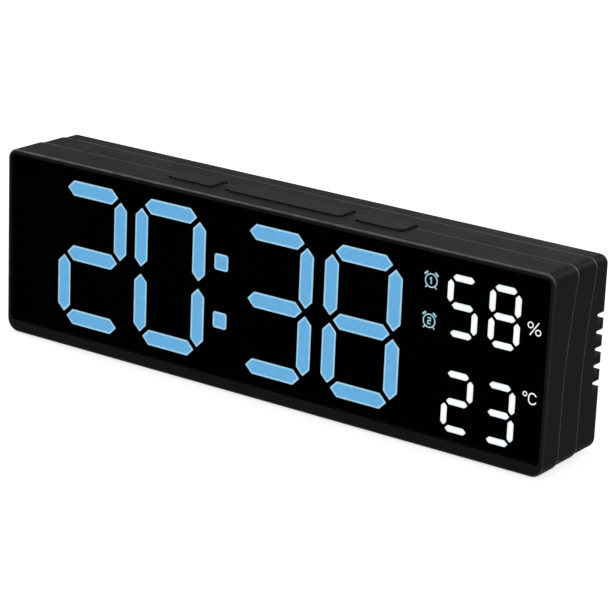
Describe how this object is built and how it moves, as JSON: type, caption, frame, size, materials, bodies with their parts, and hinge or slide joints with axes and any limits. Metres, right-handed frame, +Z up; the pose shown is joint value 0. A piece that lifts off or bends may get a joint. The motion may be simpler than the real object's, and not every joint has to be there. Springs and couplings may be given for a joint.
{
  "type": "digital led desk clock",
  "caption": "Wide black desk clock with a smoked flat front, blue time digits, white humidity and temperature figures, push keys in its top and a battery door in its back.",
  "frame": {"origin": "on the table, under the middle of the case", "axes": "+X to the viewer's right along the front, +Y from the front to the back, +Z up"},
  "size_m": [0.2384, 0.0374, 0.0729],
  "materials": {
    "case_plastic": "fine moulded satin",
    "key_plastic": "satin",
    "lens_acrylic": "smoked gloss",
    "black_tape": "matt adhesive",
    "mask_sheet": "matt black print",
    "blue_diffuser": "lit blue",
    "white_diffuser": "lit white",
    "sign_diffuser": "lit pale white",
    "unlit_diffuser": "unlit grey",
    "white_moulding": "white moulded",
    "green_board": "solder resist",
    "chip_body": "moulded epoxy",
    "led_body": "clear resin",
    "bright_steel": "zinc plated",
    "nickel": "nickel plated",
    "capacitor_sleeve": "shrunk sleeve",
    "cell_wrap": "printed wrap",
    "wire_sheath": "soft sheath",
    "ribbon_sheath": "grey ribbon",
    "black_rubber": "matt rubber",
    "socket_plastic": "black moulded"
  },
  "bodies": {
    "case": {"front_frame": "case_plastic", "rear_case": "case_plastic", "front_lens": "lens_acrylic", "lens_tape": "black_tape", "display_mask": "mask_sheet", "hour_tens_segments": "blue_diffuser", "hour_units_segments": "blue_diffuser", "minute_tens_segments": "blue_diffuser", "minute_units_segments": "blue_diffuser", "colon_dots": "blue_diffuser", "humidity_segments": "white_diffuser", "temperature_segments": "white_diffuser", "percent_sign": "sign_diffuser", "degree_sign": "sign_diffuser", "alarm_icons": "sign_diffuser", "unlit_segments": "unlit_diffuser", "light_box": "white_moulding", "display_board": "green_board", "sensor_board": "green_board", "segment_leds": "led_body", "control_chip": "chip_body", "driver_chips": "chip_body", "climate_sensor": "chip_body", "switch_housings": "chip_body", "buzzer": "chip_body", "quartz_crystal": "nickel", "battery_contacts": "nickel", "socket_pin": "nickel", "filter_capacitors": "capacitor_sleeve", "backup_cells": "cell_wrap", "power_leads": "wire_sheath", "battery_leads": "wire_sheath", "sensor_ribbon": "ribbon_sheath", "power_socket": "socket_plastic", "case_screws": "bright_steel", "board_screws": "bright_steel", "rubber_feet": "black_rubber"},
    "left_key": {"left_key": "key_plastic", "left_plunger": "white_moulding"},
    "snooze_key": {"snooze_key": "key_plastic", "snooze_plunger": "white_moulding"},
    "right_key": {"right_key": "key_plastic", "right_plunger": "white_moulding"},
    "battery_door": {"battery_door": "case_plastic", "door_screw": "bright_steel"}
  },
  "joints": [
    {"name": "left_key_press", "type": "slide", "parent": "case", "child": "left_key", "axis": [0, 0, -1], "range_m": [0, 0.0005], "stiffness_N_per_m": 1500, "springref_m": -0.0003},
    {"name": "snooze_key_press", "type": "slide", "parent": "case", "child": "snooze_key", "axis": [0, 0, -1], "range_m": [0, 0.0005], "stiffness_N_per_m": 1500, "springref_m": -0.0003},
    {"name": "right_key_press", "type": "slide", "parent": "case", "child": "right_key", "axis": [0, 0, -1], "range_m": [0, 0.0005], "stiffness_N_per_m": 1500, "springref_m": -0.0003},
    {"name": "battery_door_lift", "type": "slide", "parent": "case", "child": "battery_door", "axis": [0, 1, 0], "range_m": [0, 0.02]}
  ]
}
